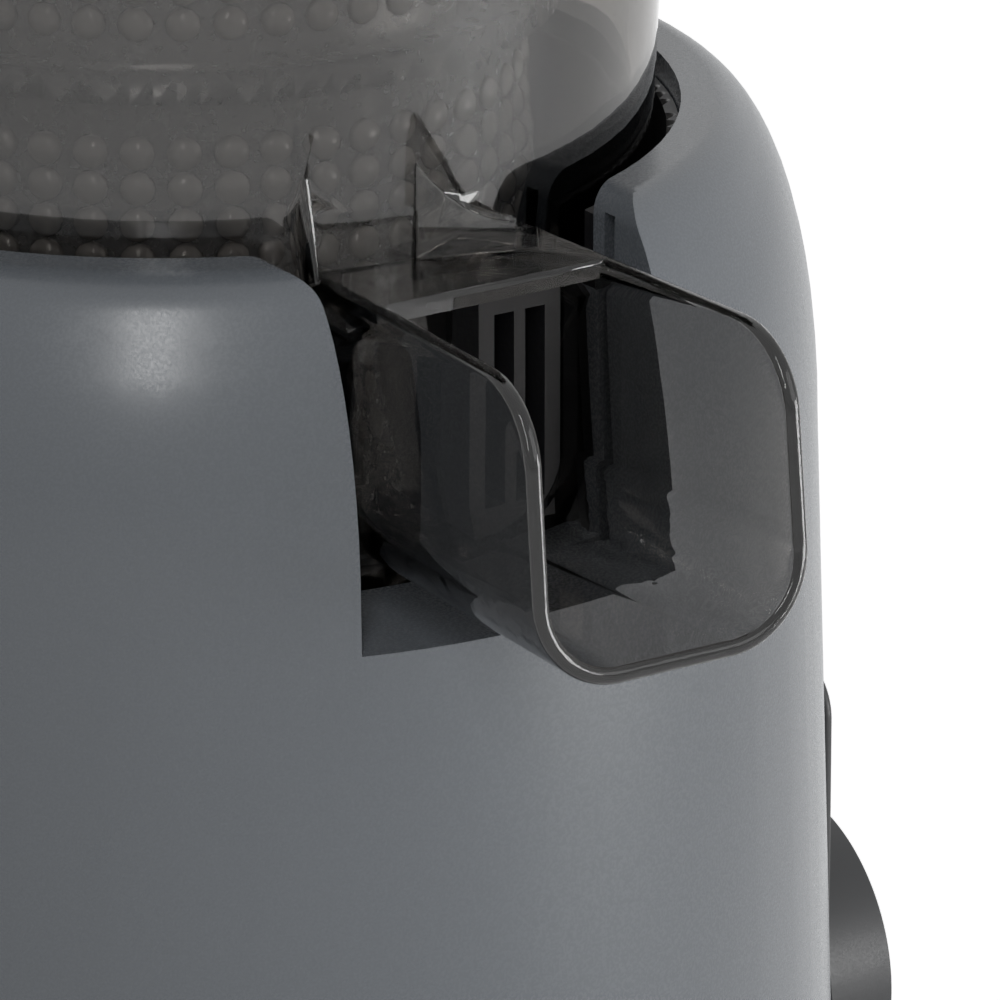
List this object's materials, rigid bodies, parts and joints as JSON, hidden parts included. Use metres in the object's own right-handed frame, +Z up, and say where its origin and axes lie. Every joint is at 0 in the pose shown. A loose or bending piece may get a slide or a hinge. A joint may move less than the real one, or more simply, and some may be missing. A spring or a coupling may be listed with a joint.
{
  "type": "cold press juicer",
  "caption": "Upright cold press juicer: tapered motor base with side knob, smoky clear bowl with open pulp chute and juice spout, geared auger, strainer, lid and pusher.",
  "frame": {"origin": "on the drum axis, at the height of the table under the feet", "axes": "+Z up along the drum and auger axis, -Y towards the open pulp chute, +X towards the knob, -X towards the juice spout, +Y the back with the cord gland"},
  "size_m": [0.2265, 0.2248, 0.456],
  "materials": {
    "housing_abs": "fine textured moulded ABS, matte",
    "trim_abs": "moulded ABS, matte",
    "black_abs": "moulded ABS, black",
    "base_abs": "moulded ABS, dark grey",
    "clear_copolyester": "smoky clear copolyester, polished",
    "black_silicone": "moulded silicone, satin",
    "grey_silicone": "moulded silicone, satin",
    "foot_rubber": "moulded rubber",
    "auger_resin": "moulded polyetherimide, dark",
    "stainless_steel": "turned stainless steel",
    "zinc_steel": "zinc plated steel",
    "lamination_steel": "stacked laminations",
    "copper_wire": "enamelled winding wire",
    "bronze": "sintered bronze",
    "brass": "pressed brass",
    "carbon": "pressed carbon",
    "gear_nylon": "moulded nylon",
    "gearbox_nylon": "glass filled nylon",
    "cast_aluminium": "die cast, as cast",
    "circuit_board": "solder mask",
    "pointer_white": "moulded inlay"
  },
  "bodies": {
    "base": {"housing_shell": "housing_abs", "seat_liner": "black_abs", "base_plate": "base_abs", "base_screws": "zinc_steel", "gearbox_case": "gearbox_nylon", "gearbox_lid": "gearbox_nylon", "gearbox_screws": "zinc_steel", "countershaft_pin": "stainless_steel", "output_bush": "bronze", "shaft_seal": "black_silicone", "motor_bracket_upper": "cast_aluminium", "motor_bracket_lower": "cast_aluminium", "motor_bearings": "stainless_steel", "motor_tie_bolts": "zinc_steel", "stator_core": "lamination_steel", "field_coils": "copper_wire", "carbon_brushes": "carbon", "brush_holders": "brass", "control_board": "circuit_board", "safety_switch": "black_abs", "rotary_switch": "black_abs", "control_plate": "trim_abs", "cord_gland": "black_abs", "foot_1": "foot_rubber", "foot_2": "foot_rubber", "foot_3": "foot_rubber", "foot_4": "foot_rubber"},
    "armature": {"armature_shaft": "stainless_steel", "armature_core": "lamination_steel", "armature_windings": "copper_wire", "commutator": "brass", "cooling_fan": "gear_nylon"},
    "countershaft": {"double_gear": "gear_nylon"},
    "output": {"output_gear": "gear_nylon", "output_shaft": "stainless_steel"},
    "knob": {"knob": "trim_abs", "switch_shaft": "gear_nylon", "knob_pointer": "pointer_white"},
    "bowl": {"bowl": "clear_copolyester", "bowl_base": "clear_copolyester", "spout_nozzle": "clear_copolyester", "bowl_seal": "grey_silicone", "pulp_outlet": "black_silicone", "strainer": "clear_copolyester", "hinge_pin": "stainless_steel"},
    "auger": {"auger": "auger_resin", "auger_sleeve": "stainless_steel"},
    "spout_cap": {"spout_cap": "trim_abs", "spout_seal": "grey_silicone"},
    "lid": {"lid": "clear_copolyester", "feed_tray": "clear_copolyester", "lid_bush": "gear_nylon", "lid_seal": "grey_silicone"},
    "pusher": {"pusher": "trim_abs", "pusher_cap": "trim_abs"}
  },
  "joints": [
    {"name": "bowl_lift", "type": "slide", "parent": "base", "child": "bowl", "axis": [0, 0, 1], "range_m": [0, 0.09]},
    {"name": "auger_spin", "type": "hinge", "parent": "bowl", "child": "auger", "pos_m": [0, 0, 0.2], "axis": [0, 0, 1], "continuous": true},
    {"name": "output_spin", "type": "hinge", "parent": "base", "child": "output", "pos_m": [0, 0, 0.17], "axis": [0, 0, 1], "continuous": true},
    {"name": "countershaft_spin", "type": "hinge", "parent": "base", "child": "countershaft", "pos_m": [0, 0.0396, 0.15], "axis": [0, 0, 1], "continuous": true},
    {"name": "motor_spin", "type": "hinge", "parent": "base", "child": "armature", "pos_m": [0, 0, 0.09], "axis": [0, 0, 1], "continuous": true},
    {"name": "knob_turn", "type": "hinge", "parent": "base", "child": "knob", "pos_m": [0.1, 0, 0.084], "axis": [1, 0, 0], "range_deg": [-45, 45]},
    {"name": "spout_cap_turn", "type": "hinge", "parent": "bowl", "child": "spout_cap", "pos_m": [-0.105, 0, 0.2175], "axis": [0, 1, 0], "range_deg": [0, 100]},
    {"name": "lid_turn", "type": "hinge", "parent": "bowl", "child": "lid", "pos_m": [0, 0, 0.34], "axis": [0, 0, 1], "range_deg": [0, 30]},
    {"name": "pusher_slide", "type": "slide", "parent": "lid", "child": "pusher", "axis": [0, 0, 1], "range_m": [0, 0.075]}
  ],
  "couplings": [
    {"joint": "output_spin", "follows": "auger_spin", "ratio": 1},
    {"joint": "countershaft_spin", "follows": "auger_spin", "ratio": -5},
    {"joint": "motor_spin", "follows": "auger_spin", "ratio": 25}
  ]
}
